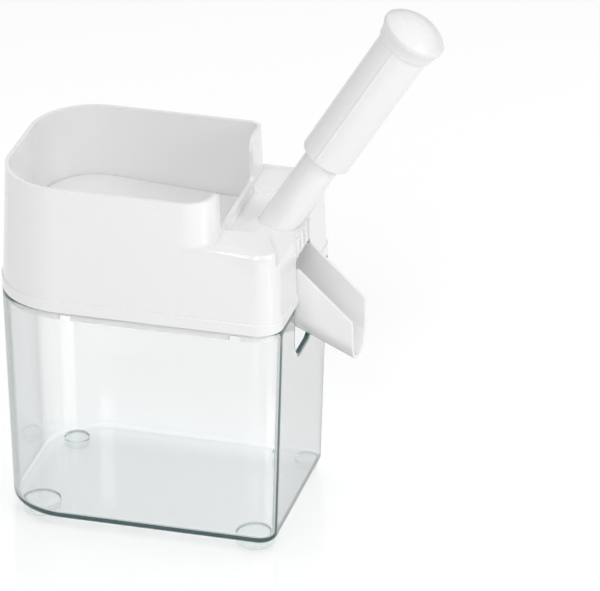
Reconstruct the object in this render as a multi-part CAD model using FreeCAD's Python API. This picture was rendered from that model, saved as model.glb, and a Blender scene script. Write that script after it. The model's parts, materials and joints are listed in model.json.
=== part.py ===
import FreeCAD, Part
import math
import os

# Cherry pitter with a slanted spring-return plunger, in millimetres.
# It is drawn about the middle of the container's rim outline, at the level of the feet, with +X from
# the hopper to the chute, +Y to the back and +Z up. Every piece is moved on saving, so that the
# origin lies under the middle of the whole object.

# Container
rimLength = 160.0
rimDepth = 116.2
cornerLeft = 39.0
cornerRight = 13.0
baseZ = 5.0
containerHeight = 125.7
containerWall = 2.5
containerDraft = 0.028
baseRounding = 3.0
notchDepth = 31.7
notchRounding = 12.0

# Feet
frontFootRadius = 10.5
rearFootRadius = 7.0
footInset = 2.2
footSocketDepth = 2.7
footSocketRoof = 1.5
footRounding = 1.0

# Housing
flangeHeight = 6.3
flangeProud = 0.1
flangeRounding = 0.6
skirtDepth = 5.0
skirtWall = 2.0
skirtGap = 0.4
snapNotchWidth = 6.0
snapNotchDepth = 2.6
snapNotchInsets = (44.0, 23.5)
bodyInset = 0.35
bodyDraft = 0.04
bodyWall = 2.2
hopperHeight = 69.5
hopperEndInset = 36.0
hopperFrontCorner = 17.0
hopperRearCorner = 9.0
deckHeight = 44.8
deckRounding = 2.0
stripHalfWidth = 28.0
stripSink = 4.5
gateFrontY = -35.5
gateRearY = 30.0
gateSillHeight = 46.8
gateRounding = 3.0
gateMouthRounding = 8.0
shoulderInset = 20.0
shoulderDrop = 3.0
fanInset = 13.0
fanEndHalfWidth = 51.0

# Chute opening and the flutes over it
openingTopHeight = 24.8
openingRounding = 3.0
fluteCount = 4
fluteWidth = 2.6
fluteProud = 0.9
fluteSpacing = 8.0
fluteLength = 11.0

# Chute
chuteWall = 2.0
chuteReach = 29.4
chuteSlopeDegrees = 25.0
chuteFloorHeight = -18.7
chuteRootTop = 19.3
chuteEndTop = -8.7
chuteRearRise = 2.3
chuteRounding = 13.2
chuteFlangeWidth = 7.0
chuteFlangeWall = 1.8
fitGap = 0.3

# Plunger line: where it crosses the sunk strip, its lean from the vertical, and the room left under
# the sleeve when it is pressed
tubeFootInset = 13.52
plungerLean = 31.9
sleeveClearance = 5.44

# Guide tube and what is inside it, along the plunger line from the sleeve's lower end
tubeRadius = 10.1
tubeWall = 1.8
tubeTop = 25.0
tubeDepth = 19.0
collarWall = 3.0
collarWidth = 20.2
screwAside = 6.4
screwRadius = 1.2
screwHeadRadius = 2.7
screwHeadHeight = 1.6
screwReach = 8.5
bossRadius = 3.6
stripperThickness = 2.0
bushLength = 6.0
washerThickness = 1.0
slideGap = 0.08
seatGap = 0.05

# Return spring
wireRadius = 0.65
springClearance = 1.2
springTurns = 12
wireSides = 6
deadPitch = 1.9

# Plunger
sleeveLength = 79.5
sleeveLowWall = 1.65
sleeveTopWall = 2.05
sleeveRounding = 1.5
webHeight = 74.0
webThickness = 3.0
neckHeight = 6.0
rodRadius = 3.5
bossLength = 12.0
needleRadius = 1.9
needleSocket = 6.0
needleToothDepth = 2.0
needleSlot = 0.9
colletLength = 11.0
colletWall = 3.0
stopRingHeight = 5.0
stopRingThickness = 1.6
stopRingProud = 1.5
stopGrooveDepth = 0.5
endBushLength = 3.9
endBushInset = 0.8
capLowProud = 1.05
capRimProud = 3.25
capBandHeight = 10.0
capDomeHeight = 7.5
capWall = 2.4
capLipHeight = 1.6
capScrewRadius = 1.5
capScrewHeadRadius = 3.4
capScrewHeadHeight = 2.2
capScrewReach = 8.0

# Fruit seat, measured from the stripper along the plunger line
fruitRadius = 12.0
seatDepth = 9.5
seatThickness = 2.0
seatHoleRadius = 5.0
seatSlits = 6
seatSlitWidth = 0.6
seatSlitReach = 9.0
retainerHeight = 3.5
holderWall = 2.4
holderLedge = 2.5
cheekWall = 2.0
plateLength = 24.0

# Feed tray
trayThickness = 2.0
trayRise = 0.105
trayCentreDrop = 8.0
trayEndDrop = 12.5
windowHeadroom = 7.0

rimZ = baseZ + containerHeight
flangeZ = rimZ + flangeHeight
deckZ = rimZ + deckHeight
hopperZ = rimZ + hopperHeight
stripZ = deckZ - stripSink
halfLength = rimLength / 2
halfDepth = rimDepth / 2
hopperEndX = halfLength - hopperEndInset
shoulderStartX = halfLength - shoulderInset
fanStartX = halfLength - fanInset
snapNotchX = (-halfLength + snapNotchInsets[0], halfLength - snapNotchInsets[1])

lean = math.radians(plungerLean)
fruitDrop = 2 * fruitRadius + 2
pressTravel = fruitDrop + fruitRadius + 2
plungerZ = stripZ + pressTravel * math.cos(lean) + sleeveClearance
plungerX = halfLength - tubeFootInset + (plungerZ - stripZ) * math.tan(lean)
tubeBottom = -pressTravel - tubeDepth
screwSpacing = 2 * (tubeRadius + screwAside)
collarLength = screwSpacing + 9
stopRingRadius = tubeRadius + stopRingProud
sleeveBore = stopRingRadius + 0.6
sleeveLowRadius = sleeveBore + sleeveLowWall
sleeveTopRadius = sleeveBore + sleeveTopWall
neckRadius = sleeveTopRadius - 1.65
capLowRadius = sleeveTopRadius + capLowProud
capRimRadius = sleeveTopRadius + capRimProud
springRadius = tubeRadius - tubeWall - wireRadius - springClearance
colletRadius = springRadius - wireRadius - 0.6
bossOuterRadius = springRadius - wireRadius - 0.4

seatRadius = fruitRadius
cheekGap = 2 * fruitRadius + 8
windowWidth = cheekGap + 1
trayChannel = fruitRadius + 3
chuteWidth = 2 * fruitRadius + 5
notchWidth = chuteWidth + 10
fruitHeight = tubeBottom - fruitDrop
seatTop = fruitHeight - seatDepth
seatLow = seatTop - seatThickness
holderLow = seatLow - holderLedge
holderTop = seatTop + retainerHeight
holderRadius = seatRadius + fitGap + holderWall
springLow = tubeBottom + stripperThickness + bushLength + washerThickness
rodBottom = springLow + pressTravel + colletWall + 2
knobHeight = sleeveLength + capBandHeight
knobX = plungerX + knobHeight * math.sin(lean) + capRimRadius * math.cos(lean)
middleX = (knobX - halfLength - flangeProud) / 2


def vec(x, y, z):
    return FreeCAD.Vector(x, y, z)


def onPlunger(shape):
    """Lean a shape that stands on +Z onto the plunger line."""
    placed = shape.copy()
    placed.rotate(vec(0, 0, 0), vec(0, 1, 0), plungerLean)
    placed.translate(vec(plungerX, 0, plungerZ))
    return placed


def plungerPoint(along, across):
    """World X and Z of a point along the plunger line and across it towards the chute."""
    x = plungerX + along * math.sin(lean) + across * math.cos(lean)
    z = plungerZ + along * math.cos(lean) - across * math.sin(lean)
    return x, z


def save(name, shape):
    placed = shape.copy()
    placed.translate(vec(-middleX, 0, 0))
    placed.exportStep("parts/" + name + ".step")
    print(name, len(placed.Solids), round(placed.Volume, 1), placed.isValid())


def outline(left, right, half, corners, z):
    """Closed plan outline with four corner radii: front left, front right, rear right, rear left."""
    frontLeft, frontRight, rearRight, rearLeft = corners
    centres = (
        (left + frontLeft, -half + frontLeft, frontLeft, 180),
        (right - frontRight, -half + frontRight, frontRight, 270),
        (right - rearRight, half - rearRight, rearRight, 0),
        (left + rearLeft, half - rearLeft, rearLeft, 90),
    )
    arcs = []
    for x, y, radius, start in centres:
        points = []
        for turn in (0, 45, 90):
            angle = math.radians(start + turn)
            points.append(vec(x + radius * math.cos(angle), y + radius * math.sin(angle), z))
        arcs.append(points)
    edges = []
    for index, points in enumerate(arcs):
        edges.append(Part.Arc(*points).toShape())
        following = arcs[(index + 1) % 4]
        edges.append(Part.makeLine(points[2], following[0]))
    return Part.Wire(edges)


def rimOutline(inset, z):
    corners = (cornerLeft - inset, cornerRight - inset, cornerRight - inset, cornerLeft - inset)
    return outline(-halfLength + inset, halfLength - inset, halfDepth - inset, corners, z)


def hopperOutline(inset, z):
    start = hopperInset(deckZ)
    shift = inset - start
    corners = (
        cornerLeft - inset,
        hopperFrontCorner - shift,
        hopperRearCorner - shift,
        cornerLeft - inset,
    )
    return outline(-halfLength + inset, hopperEndX - shift, halfDepth - inset, corners, z)


def hopperInset(z):
    return bodyInset + bodyDraft * (z - rimZ)


def block(plan, lowZ, lowInset, highZ, highInset):
    """Solid with straight drafted walls between two levels."""
    return Part.makeLoft([plan(lowInset, lowZ), plan(highInset, highZ)], True, True)


def boxed(lowX, highX, lowY, highY, lowZ, highZ):
    return Part.makeBox(highX - lowX, highY - lowY, highZ - lowZ, vec(lowX, lowY, lowZ))


def prismY(points, lowY, highY):
    """Polygon of X and Z points, extruded along Y."""
    corners = [vec(x, lowY, z) for x, z in points]
    face = Part.Face(Part.makePolygon(corners + corners[:1]))
    return face.extrude(vec(0, highY - lowY, 0))


def turned(points):
    """Solid of revolution on +Z from a closed profile of radius and height."""
    corners = [vec(radius, 0, z) for radius, z in points]
    face = Part.Face(Part.makePolygon(corners + corners[:1]))
    return face.revolve(vec(0, 0, 0), vec(0, 0, 1), 360)


def tube(outer, inner, low, high):
    body = Part.makeCylinder(outer, high - low, vec(0, 0, low))
    return body.cut(Part.makeCylinder(inner, high - low, vec(0, 0, low)))


def edgesAt(shape, z, test):
    """Edges that lie wholly in one level and pass a test on their middle."""
    found = []
    for edge in shape.Edges:
        box = edge.BoundBox
        if abs(box.ZMin - z) < 0.01 and abs(box.ZMax - z) < 0.01:
            if test(edge.CenterOfMass):
                found.append(edge)
    return found


def containerInset(z):
    return containerDraft * (rimZ - z)


def footPlaces():
    low = containerInset(baseZ)
    places = {}
    for name, side, radius, corner in (
        ("foot_front_left", -1, frontFootRadius, cornerLeft),
        ("foot_front_right", 1, frontFootRadius, cornerRight),
        ("foot_rear_left", -1, rearFootRadius, cornerLeft),
        ("foot_rear_right", 1, rearFootRadius, cornerRight),
    ):
        rear = 1 if "rear" in name else -1
        inner = corner - low - radius - footInset
        spread = max(inner, 0) * math.sqrt(0.5)
        edge = max(corner - low, radius + footInset)
        x = side * (halfLength - low - edge + spread)
        y = rear * (halfDepth - low - edge + spread)
        places[name] = (x, y, radius)
    return places


def makeContainer():
    outer = block(rimOutline, baseZ, containerInset(baseZ), rimZ, 0)
    outer = outer.makeFillet(baseRounding, edgesAt(outer, baseZ, lambda middle: True))
    floorZ = baseZ + containerWall
    lowInset = containerInset(floorZ) + containerWall
    inner = block(rimOutline, floorZ, lowInset, rimZ, containerWall)
    shell = outer.cut(inner)
    for x, y, radius in footPlaces().values():
        socketRadius = radius + fitGap
        roofZ = baseZ + footSocketDepth + footSocketRoof
        dome = Part.makeCylinder(socketRadius + footSocketRoof, roofZ - baseZ, vec(x, y, baseZ))
        shell = shell.fuse(dome.common(outer))
        shell = shell.cut(Part.makeCylinder(socketRadius, footSocketDepth + 1, vec(x, y, baseZ - 1)))
    notchZ = rimZ - notchDepth
    notch = boxed(halfLength - 12, halfLength + 5, -notchWidth / 2, notchWidth / 2, notchZ, rimZ + 20)
    corners = []
    for edge in notch.Edges:
        middle = edge.CenterOfMass
        if abs(middle.z - notchZ) < 0.01 and abs(abs(middle.y) - notchWidth / 2) < 0.01:
            corners.append(edge)
    notch = notch.makeFillet(notchRounding, corners)
    return shell.cut(notch).removeSplitter()


def makeFoot(x, y, radius):
    height = baseZ + footSocketDepth
    foot = Part.makeCylinder(radius, height, vec(x, y, 0))
    rounded = edgesAt(foot, 0, lambda middle: True)
    return foot.makeChamfer(footRounding, rounded)


def sunkSpace(startX, below):
    """Space over the sunk strip and over the fan between it and the end wall, or that space grown."""
    endX = halfLength - hopperInset(deckZ)
    slope = shoulderDrop / (endX - shoulderStartX)
    far = halfLength + 10
    lowZ = stripZ - below
    farZ = lowZ - slope * (far - shoulderStartX)
    profile = prismY(
        (
            (startX, lowZ),
            (shoulderStartX, lowZ),
            (far, farZ),
            (far, deckZ + 5),
            (startX, deckZ + 5),
        ),
        -halfDepth - 20,
        halfDepth + 20,
    )
    spread = (fanEndHalfWidth - stripHalfWidth) / (endX - fanStartX)
    half = stripHalfWidth + below
    farHalf = half + below + spread * (far - fanStartX)
    plan = [
        vec(startX, -half, 0),
        vec(fanStartX - below, -half, 0),
        vec(far, -farHalf, 0),
        vec(far, farHalf, 0),
        vec(fanStartX - below, half, 0),
        vec(startX, half, 0),
    ]
    fan = Part.Face(Part.makePolygon(plan + plan[:1])).extrude(vec(0, 0, hopperZ))
    return profile.common(fan)


def bossAxes():
    return ((0, -screwSpacing / 2), (0, screwSpacing / 2))


def gateSpace():
    """Cut through the hopper's end wall: rounded low corners, a flared mouth at the rim."""
    lowZ = rimZ + gateSillHeight
    low, high = gateFrontY, gateRearY
    small, large = gateRounding, gateMouthRounding

    def corner(y, z, aside, up, radius):
        part = radius * (1 - math.sqrt(0.5))
        middle = vec(0, y + aside * part, z + up * part)
        return Part.Arc(vec(0, y, z + up * radius), middle, vec(0, y + aside * radius, z)).toShape()

    points = [
        vec(0, high + large, hopperZ),
        vec(0, high + large, hopperZ + 5),
        vec(0, low - small, hopperZ + 5),
        vec(0, low - small, hopperZ),
    ]
    edges = [Part.makeLine(a, b) for a, b in zip(points[:-1], points[1:])]
    edges.append(corner(low, hopperZ, -1, -1, small))
    edges.append(Part.makeLine(vec(0, low, hopperZ - small), vec(0, low, lowZ + small)))
    edges.append(corner(low, lowZ, 1, 1, small))
    edges.append(Part.makeLine(vec(0, low + small, lowZ), vec(0, high - small, lowZ)))
    edges.append(corner(high, lowZ, -1, 1, small))
    edges.append(Part.makeLine(vec(0, high, lowZ + small), vec(0, high, hopperZ - large)))
    edges.append(corner(high, hopperZ, 1, -1, large))
    face = Part.Face(Part.Wire(Part.__sortEdges__(edges)))
    face.translate(vec(hopperEndX - 8, 0, 0))
    return face.extrude(vec(12, 0, 0))


def makeHousing():
    skirtLow = rimZ - skirtDepth
    skirtInset = containerWall + skirtGap
    flangeCore = block(rimOutline, rimZ, -flangeProud, flangeZ, -flangeProud)
    flangeCore = flangeCore.makeFillet(flangeRounding, edgesAt(flangeCore, flangeZ, lambda middle: True))
    skirt = block(rimOutline, skirtLow, skirtInset + containerInset(skirtLow), rimZ, skirtInset)
    edgeZ = deckZ - deckRounding
    wall = block(rimOutline, flangeZ, hopperInset(flangeZ), edgeZ, hopperInset(edgeZ))
    edge = block(rimOutline, edgeZ, hopperInset(edgeZ), deckZ, hopperInset(edgeZ) + deckRounding * 0.6)
    deck = wall.fuse(edge).cut(sunkSpace(hopperEndX - bodyWall / 2, 0))
    hopperLow = stripZ - shoulderDrop
    hopper = block(hopperOutline, hopperLow, hopperInset(hopperLow), hopperZ, hopperInset(hopperZ))
    outer = flangeCore.fuse([skirt, deck, hopper]).removeSplitter()

    innerInset = skirtInset + skirtWall
    startZ = flangeZ - bodyWall
    lowCavity = block(rimOutline, skirtLow - 1, innerInset, startZ, innerInset)
    roofZ = deckZ - bodyWall
    highCavity = block(
        rimOutline, startZ, hopperInset(startZ) + bodyWall, roofZ, hopperInset(roofZ) + bodyWall
    )
    highCavity = highCavity.cut(sunkSpace(hopperEndX - bodyWall, bodyWall))
    openZ = hopperZ + 1
    hopperCavity = block(
        hopperOutline, hopperLow, hopperInset(hopperLow) + bodyWall, openZ, hopperInset(openZ) + bodyWall
    )
    shell = outer.cut(lowCavity).cut(highCavity).cut(hopperCavity)

    partitionLow = plungerPoint(holderTop, -holderRadius)[1] - trayThickness
    partitionX = hopperEndX - bodyWall
    partition = boxed(partitionX, hopperEndX, -halfDepth + 1, halfDepth - 1, partitionLow, roofZ + 1)
    partition = partition.common(outer)
    windowHalf = windowWidth / 2
    windowTop = deckZ - windowHeadroom
    window = boxed(partitionX - 1, hopperEndX + 1, -windowHalf, windowHalf, partitionLow - 1, windowTop)
    shell = shell.fuse(partition.cut(window))
    shell = shell.cut(gateSpace())

    openingHalf = chuteWidth / 2 + fitGap
    openingZ = rimZ + openingTopHeight
    opening = boxed(halfLength - 10, halfLength + 5, -openingHalf, openingHalf, skirtLow - 5, openingZ)
    corners = []
    for edge in opening.Edges:
        middle = edge.CenterOfMass
        if abs(middle.z - openingZ) < 0.01 and abs(abs(middle.y) - openingHalf) < 0.01:
            corners.append(edge)
    shell = shell.cut(opening.makeFillet(openingRounding, corners))

    for index in range(fluteCount):
        y = (index - (fluteCount - 1) / 2) * fluteSpacing
        lowZ = openingZ + 1
        wallX = halfLength - hopperInset(lowZ)
        half = fluteWidth / 2
        flute = boxed(wallX - 1, wallX + fluteProud, y - half, y + half, lowZ, lowZ + fluteLength)
        rounded = [edge for edge in flute.Edges if edge.CenterOfMass.x > wallX + fluteProud - 0.01]
        shell = shell.fuse(flute.makeFillet(fluteProud * 0.6, rounded))

    for x, y in bossAxes():
        boss = Part.makeCylinder(bossRadius, 20, vec(x, y, tubeBottom + collarWall))
        shell = shell.fuse(onPlunger(boss).common(outer))
        pilot = Part.makeCylinder(screwRadius + seatGap, screwReach + 0.5, vec(x, y, tubeBottom))
        shell = shell.cut(onPlunger(pilot))
    hole = Part.makeCylinder(tubeRadius + slideGap, 40, vec(0, 0, tubeBottom - 2))
    shell = shell.cut(onPlunger(hole))

    half = snapNotchWidth / 2
    for x in snapNotchX:
        notchTop = skirtLow + snapNotchDepth
        shell = shell.cut(boxed(x - half, x + half, -halfDepth, halfDepth, skirtLow - 1, notchTop))
    return shell.removeSplitter()


def trayFloor(x):
    """Height of the tray's centre line, which falls towards the seat."""
    seatX, seatZ = plungerPoint(holderTop, -holderRadius)
    return seatZ + fitGap + trayRise * (seatX - x)


def traySection(x, sideRise):
    """Gutter section across the hopper: a round channel between two slopes."""
    half = halfDepth + 2
    centreZ = trayFloor(x)
    slope = sideRise / (halfDepth - trayChannel)
    lipZ = centreZ + slope * trayChannel / 2
    sideZ = lipZ + slope * (half - trayChannel)
    under = vec(0, 0, -trayThickness)
    left = vec(x, -half, sideZ)
    leftLip = vec(x, -trayChannel, lipZ)
    middle = vec(x, 0, centreZ)
    rightLip = vec(x, trayChannel, lipZ)
    right = vec(x, half, sideZ)
    edges = [
        Part.makeLine(left, leftLip),
        Part.Arc(leftLip, middle, rightLip).toShape(),
        Part.makeLine(rightLip, right),
        Part.makeLine(right, right + under),
        Part.makeLine(right + under, rightLip + under),
        Part.Arc(rightLip + under, middle + under, leftLip + under).toShape(),
        Part.makeLine(leftLip + under, left + under),
        Part.makeLine(left + under, left),
    ]
    return Part.Wire(edges)


def makeFeedTray():
    endX = hopperEndX - bodyWall - fitGap
    sections = [traySection(-halfLength, trayCentreDrop), traySection(endX, trayEndDrop)]
    slab = Part.makeLoft(sections, True, True)
    inset = bodyWall + fitGap
    room = block(rimOutline, rimZ, hopperInset(rimZ) + inset, deckZ, hopperInset(deckZ) + inset)
    carve = Part.makeCylinder(holderRadius + fitGap, 60, vec(0, 0, holderLow - 5))
    return slab.common(room).cut(onPlunger(carve))


def makeSeatHolder():
    pocket = seatRadius + fitGap
    ledgeRadius = seatHoleRadius + seatSlitReach / 2
    ring = turned((
        (ledgeRadius, holderLow),
        (holderRadius, holderLow),
        (holderRadius, holderTop),
        (pocket, holderTop),
        (pocket, seatLow),
        (ledgeRadius, seatLow),
    ))
    side = cheekGap / 2 + cheekWall
    plate = boxed(-plateLength / 2, plateLength / 2, -side, side, holderLow, seatLow)
    plate = plate.cut(Part.makeCylinder(ledgeRadius, 10, vec(0, 0, holderLow - 5)))
    base = onPlunger(ring.fuse(plate))
    startX = hopperEndX + fitGap
    underCollar = tubeBottom - screwHeadHeight - 0.8
    lowAcross = (startX - plungerX - holderLow * math.sin(lean)) / math.cos(lean)
    highAcross = (startX - plungerX - underCollar * math.sin(lean)) / math.cos(lean)
    profile = (
        plungerPoint(holderLow, lowAcross),
        plungerPoint(holderLow, plateLength / 2),
        plungerPoint(holderTop, holderRadius + 2),
        plungerPoint(underCollar, 6),
        plungerPoint(underCollar, highAcross),
    )
    shape = base.cut(boxed(-halfLength, startX, -side - 1, -windowWidth / 2 + fitGap, 0, hopperZ))
    shape = shape.cut(boxed(-halfLength, startX, windowWidth / 2 - fitGap, side + 1, 0, hopperZ))
    for low in (-side, cheekGap / 2):
        shape = shape.fuse(prismY(profile, low, low + cheekWall))
    return shape.removeSplitter()


def makeCherrySeat():
    disc = tube(seatRadius, seatHoleRadius, seatLow, seatTop)
    for index in range(seatSlits):
        slit = boxed(0, seatSlitReach, -seatSlitWidth / 2, seatSlitWidth / 2, seatLow - 1, seatTop + 1)
        slit.rotate(vec(0, 0, 0), vec(0, 0, 1), index * 360 / seatSlits)
        disc = disc.cut(slit)
    return onPlunger(disc)


def makeSeatRetainer():
    reach = fruitRadius + fitGap
    lowBore = math.sqrt(reach ** 2 - (seatTop - fruitHeight) ** 2)
    highBore = math.sqrt(reach ** 2 - (holderTop - fruitHeight) ** 2)
    outer = seatRadius + fitGap - seatGap
    ring = turned(((lowBore, seatTop), (outer, seatTop), (outer, holderTop), (highBore, holderTop)))
    return onPlunger(ring)


def chuteFloor(x):
    return rimZ + chuteFloorHeight + (halfLength - x) * math.tan(math.radians(chuteSlopeDegrees))


def makeChute():
    startX = plungerPoint(holderTop, holderRadius)[0] + fitGap
    endX = halfLength + chuteReach
    topZ = rimZ + chuteRootTop + chuteRearRise
    drop = chuteWall / math.cos(math.radians(chuteSlopeDegrees))
    half = chuteWidth / 2
    outer = prismY(
        (
            (startX, chuteFloor(startX) - drop),
            (startX, topZ),
            (halfLength, topZ),
            (endX, rimZ + chuteEndTop + chuteRearRise),
            (endX, chuteFloor(endX) - drop),
        ),
        -half,
        half,
    )
    inner = prismY(
        (
            (startX - 5, chuteFloor(startX - 5)),
            (startX - 5, topZ + 20),
            (endX + 5, topZ + 20),
            (endX + 5, chuteFloor(endX + 5)),
        ),
        -half + chuteWall,
        half - chuteWall,
    )
    trough = rounded(outer, chuteRounding).cut(rounded(inner, chuteRounding - chuteWall))
    frontZ = topZ - chuteRearRise
    frontEndZ = rimZ + chuteEndTop
    over = prismY(
        (
            (startX - 1, frontZ),
            (halfLength, frontZ),
            (endX, frontEndZ),
            (endX + 5, frontEndZ),
            (endX + 5, topZ + 20),
            (startX - 1, topZ + 20),
        ),
        -half - 1,
        0,
    )
    trough = trough.cut(over)
    flangeX = halfLength - containerWall - skirtGap - skirtWall - fitGap
    for side in (-1, 1):
        low = min(side * (half - chuteWall / 2), side * (half + chuteFlangeWidth))
        width = chuteFlangeWidth + chuteWall / 2
        lowZ = chuteFloor(flangeX) + 6
        plate = boxed(flangeX - chuteFlangeWall, flangeX, low, low + width, lowZ, frontZ)
        trough = trough.fuse(plate)
    return trough.removeSplitter()


def rounded(trough, radius):
    """Round the two long lower edges of a trough."""
    long = []
    for edge in trough.Edges:
        first, last = edge.Vertexes[0].Point, edge.Vertexes[-1].Point
        along = abs(first.x - last.x)
        if along < 1 or abs(first.y - last.y) > 0.01:
            continue
        if abs(abs(first.z - last.z) / along - slopeRatio()) < 0.01:
            long.append(edge)
    return trough.makeFillet(radius, long)


def slopeRatio():
    return math.tan(math.radians(chuteSlopeDegrees))


def makeGuideTube():
    shape = tube(tubeRadius, tubeRadius - tubeWall, tubeBottom, tubeTop)
    collarTop = tubeBottom + collarWall
    end = collarLength / 2 - collarWidth / 2
    collar = boxed(-collarWidth / 2, collarWidth / 2, -end, end, tubeBottom, collarTop)
    for y in (-end, end):
        collar = collar.fuse(Part.makeCylinder(collarWidth / 2, collarWall, vec(0, y, tubeBottom)))
    collar = collar.cut(Part.makeCylinder(tubeRadius - 0.5, 20, vec(0, 0, tubeBottom - 5)))
    for x, y in bossAxes():
        collar = collar.cut(Part.makeCylinder(screwRadius + fitGap, 20, vec(x, y, tubeBottom - 5)))
    grooveTop = stopRingHeight + stopRingThickness
    groove = tube(tubeRadius + 1, tubeRadius - stopGrooveDepth, stopRingHeight, grooveTop)
    return onPlunger(shape.fuse(collar).cut(groove).removeSplitter())


def makeTubeInsert(bore, low, high):
    return onPlunger(tube(tubeRadius - tubeWall - seatGap, bore, low, high))


def makeTubeScrews():
    screws = []
    for x, y in bossAxes():
        head = Part.makeCylinder(screwHeadRadius, screwHeadHeight, vec(x, y, tubeBottom - screwHeadHeight))
        shank = Part.makeCylinder(screwRadius, screwReach, vec(x, y, tubeBottom))
        slotLow = tubeBottom - screwHeadHeight - 1
        slot = boxed(x - 0.4, x + 0.4, y - 2, y + 2, slotLow, slotLow + 1.7)
        screws.append(onPlunger(head.fuse(shank).cut(slot)))
    return Part.makeCompound(screws)


def makePlungerRod():
    rod = Part.makeCylinder(rodRadius, webHeight - rodBottom, vec(0, 0, rodBottom))
    rod = rod.cut(Part.makeCylinder(needleRadius + seatGap, needleSocket, vec(0, 0, rodBottom)))
    depth = capScrewReach - webThickness + 0.5
    rod = rod.cut(Part.makeCylinder(capScrewRadius + seatGap, depth, vec(0, 0, webHeight - depth)))
    return onPlunger(rod)


def makeNeedle():
    low = tubeBottom + 1
    needle = Part.makeCylinder(needleRadius, rodBottom + needleSocket - fitGap - low, vec(0, 0, low))
    for turn in (0, 90):
        slot = boxed(-5, 5, -needleSlot / 2, needleSlot / 2, low - 1, low + needleToothDepth)
        slot.rotate(vec(0, 0, 0), vec(0, 0, 1), turn)
        needle = needle.cut(slot)
    return onPlunger(needle)


def makeCollet():
    low = rodBottom - colletWall
    return onPlunger(turned((
        (needleRadius + seatGap, low),
        (colletRadius, low),
        (colletRadius, low + colletLength),
        (rodRadius + seatGap, low + colletLength),
        (rodRadius + seatGap, rodBottom),
        (needleRadius + seatGap, rodBottom),
    )))


def makeStopRing():
    low = stopRingHeight
    bore = tubeRadius - stopGrooveDepth + seatGap
    ring = tube(stopRingRadius, bore, low + seatGap, low + stopRingThickness - seatGap)
    return onPlunger(ring.cut(boxed(0, 20, -1.5, 1.5, low - 1, low + 5)))


def makeEndBush():
    top = endBushInset + endBushLength
    return onPlunger(tube(sleeveBore - seatGap, tubeRadius + slideGap, endBushInset, top))


def makeSleeve():
    rodBore = rodRadius + seatGap
    webTop = webHeight + webThickness
    screwBore = capScrewRadius + fitGap
    cupRadius = neckRadius - bodyWall
    shape = turned((
        (rodBore, webHeight - bossLength),
        (bossOuterRadius, webHeight - bossLength),
        (bossOuterRadius, webHeight),
        (sleeveBore, webHeight),
        (sleeveBore, 0),
        (sleeveLowRadius, 0),
        (sleeveTopRadius, sleeveLength),
        (neckRadius, sleeveLength),
        (neckRadius, sleeveLength + neckHeight),
        (cupRadius, sleeveLength + neckHeight),
        (cupRadius, webTop),
        (screwBore, webTop),
        (screwBore, webHeight),
        (rodBore, webHeight),
    ))
    lower = edgesAt(shape, 0, lambda middle: True)
    lower = [edge for edge in lower if edge.Curve.Radius > sleeveBore + 0.5]
    return onPlunger(shape.makeChamfer(sleeveRounding * 0.7, lower))


def makeKnobCap():
    low = sleeveLength
    rim = knobHeight
    top = rim + capDomeHeight
    inner = neckRadius + fitGap
    lip = vec(capRimRadius, 0, rim)
    domeRadius = (capRimRadius ** 2 + capDomeHeight ** 2) / (2 * capDomeHeight)
    turn = math.asin(capRimRadius / domeRadius) / 2
    middle = vec(domeRadius * math.sin(turn), 0, top - domeRadius * (1 - math.cos(turn)))
    roof = top - capWall - 1.5
    corners = [
        vec(0, 0, top),
        vec(0, 0, roof),
        vec(inner, 0, rim),
        vec(inner, 0, low),
        vec(capLowRadius, 0, low),
        vec(capRimRadius, 0, rim - capLipHeight),
        lip,
    ]
    edges = [Part.makeLine(a, b) for a, b in zip(corners[:-1], corners[1:])]
    edges.append(Part.Arc(lip, middle, corners[0]).toShape())
    face = Part.Face(Part.Wire(edges))
    cap = face.revolve(vec(0, 0, 0), vec(0, 0, 1), 360)
    rims = edgesAt(cap, rim, lambda middle: True)
    rims = [edge for edge in rims if edge.Curve.Radius > capRimRadius - 0.1]
    return onPlunger(cap.makeFillet(1.2, rims))


def makeKnobScrew():
    webTop = webHeight + webThickness
    head = Part.makeCylinder(capScrewHeadRadius, capScrewHeadHeight, vec(0, 0, webTop))
    shank = Part.makeCylinder(capScrewRadius, capScrewReach, vec(0, 0, webTop - capScrewReach))
    slot = boxed(-0.5, 0.5, -2.5, 2.5, webTop + 1.2, webTop + 4)
    return onPlunger(head.fuse(shank).cut(slot))


def springHeight(turn):
    """Height of the spring's centre line: close coils at both ends, open ones between."""
    height = webHeight - springLow - 2 * wireRadius
    openPitch = deadPitch + (height - deadPitch * springTurns) / (springTurns - 2.5)

    def eased(value):
        if value <= 0:
            return 0.0
        if value >= 1:
            return value - 0.5
        return value ** 3 - value ** 4 / 2

    rise = eased(turn - 0.75) - eased(turn - (springTurns - 1.75))
    return springLow + wireRadius + deadPitch * turn + (openPitch - deadPitch) * rise


def springPoint(turn):
    angle = 2 * math.pi * turn
    return vec(springRadius * math.cos(angle), springRadius * math.sin(angle), springHeight(turn))


def springTangent(turn):
    step = 0.001
    tangent = springPoint(turn + step) - springPoint(turn - step)
    return tangent.normalize()


def arcFrom(start, tangent, end):
    """Arc that leaves a point along a tangent and ends at another point."""
    chord = end - start
    straight = vec(chord.x, chord.y, chord.z).normalize()
    aim = (tangent + straight).normalize()
    half = chord.Length / 2 / aim.dot(straight)
    return Part.Arc(start, start + aim * half, end).toShape()


def biarc(start, startTangent, end, endTangent):
    """Two arcs that meet tangentially, with equal reaches at both ends."""
    chord = end - start
    both = startTangent + endTangent
    square = 2 * (1 - startTangent.dot(endTangent))
    cross = chord.dot(both)
    reach = (-cross + math.sqrt(cross ** 2 + square * chord.dot(chord))) / square
    joint = (start + startTangent * reach + end - endTangent * reach) * 0.5
    back = arcFrom(end, endTangent * -1, joint)
    return [arcFrom(start, startTangent, joint), back]


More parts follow.
